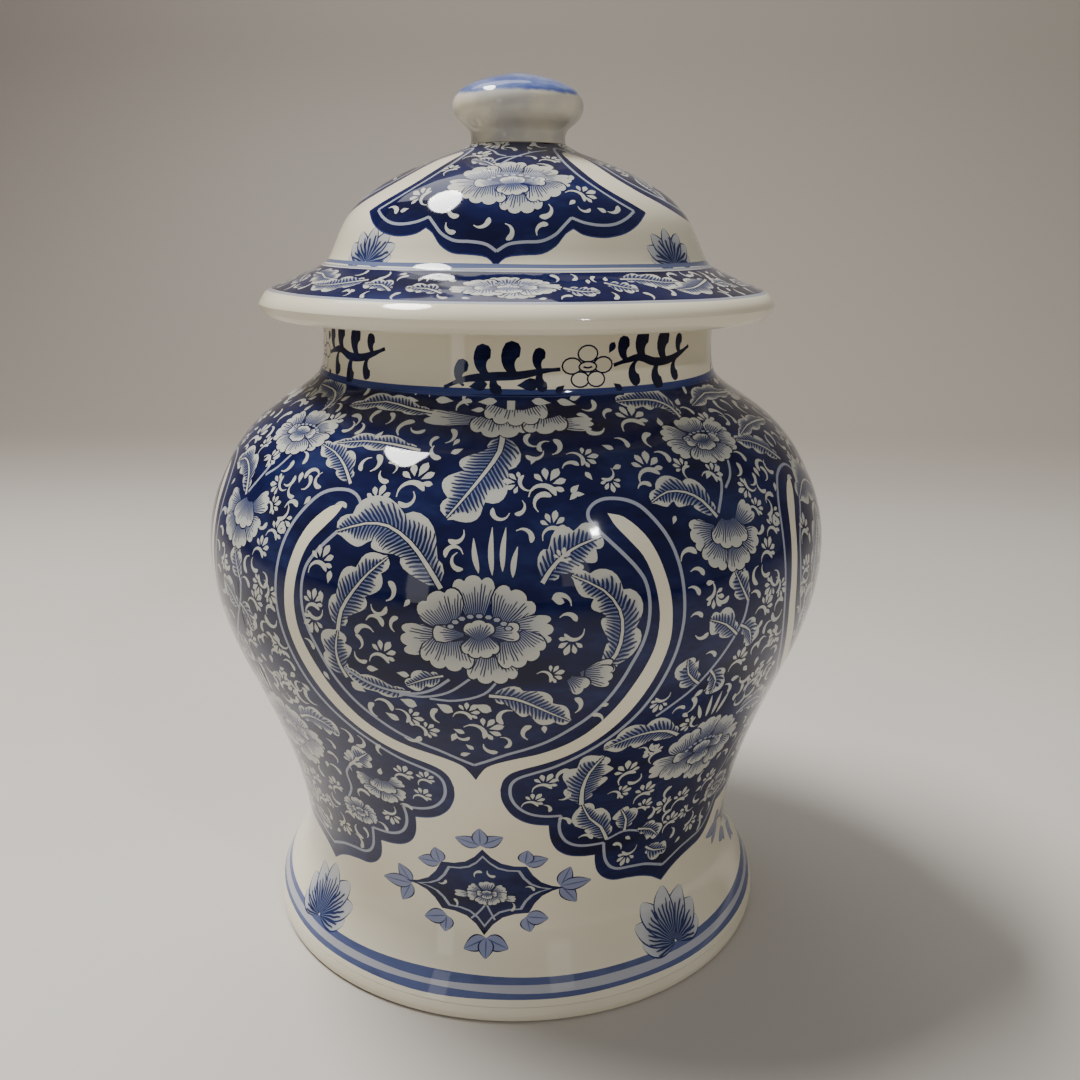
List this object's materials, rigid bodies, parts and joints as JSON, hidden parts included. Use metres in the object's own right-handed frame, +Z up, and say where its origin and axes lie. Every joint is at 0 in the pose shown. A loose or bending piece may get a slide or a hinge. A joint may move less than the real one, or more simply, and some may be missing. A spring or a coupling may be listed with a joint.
{
  "type": "ginger jar",
  "caption": "Covered baluster jar in glazed porcelain: wide shoulder, short collar, flared foot, and a domed lid with a rolled brim and button knob that lifts off.",
  "frame": {"origin": "centre of the foot ring's underside, on the jar's axis", "axes": "+Z up along the jar's axis towards the knob; -Y towards the viewer; +X to the viewer's right"},
  "size_m": [0.2064, 0.2064, 0.281],
  "materials": {
    "painted_glaze": "gloss",
    "pale_glaze": "gloss",
    "foot_glaze": "gloss",
    "lining_glaze": "satin",
    "knob_glaze": "gloss"
  },
  "bodies": {
    "jar": {"foot_ring": "foot_glaze", "jar_wall": "painted_glaze", "collar": "pale_glaze"},
    "lid": {"lid_cover": "painted_glaze", "locating_ring": "lining_glaze", "lid_knob": "knob_glaze"}
  },
  "joints": [
    {"name": "lid_lift", "type": "slide", "parent": "jar", "child": "lid", "axis": [0, 0, 1], "range_m": [0, 0.11]}
  ]
}
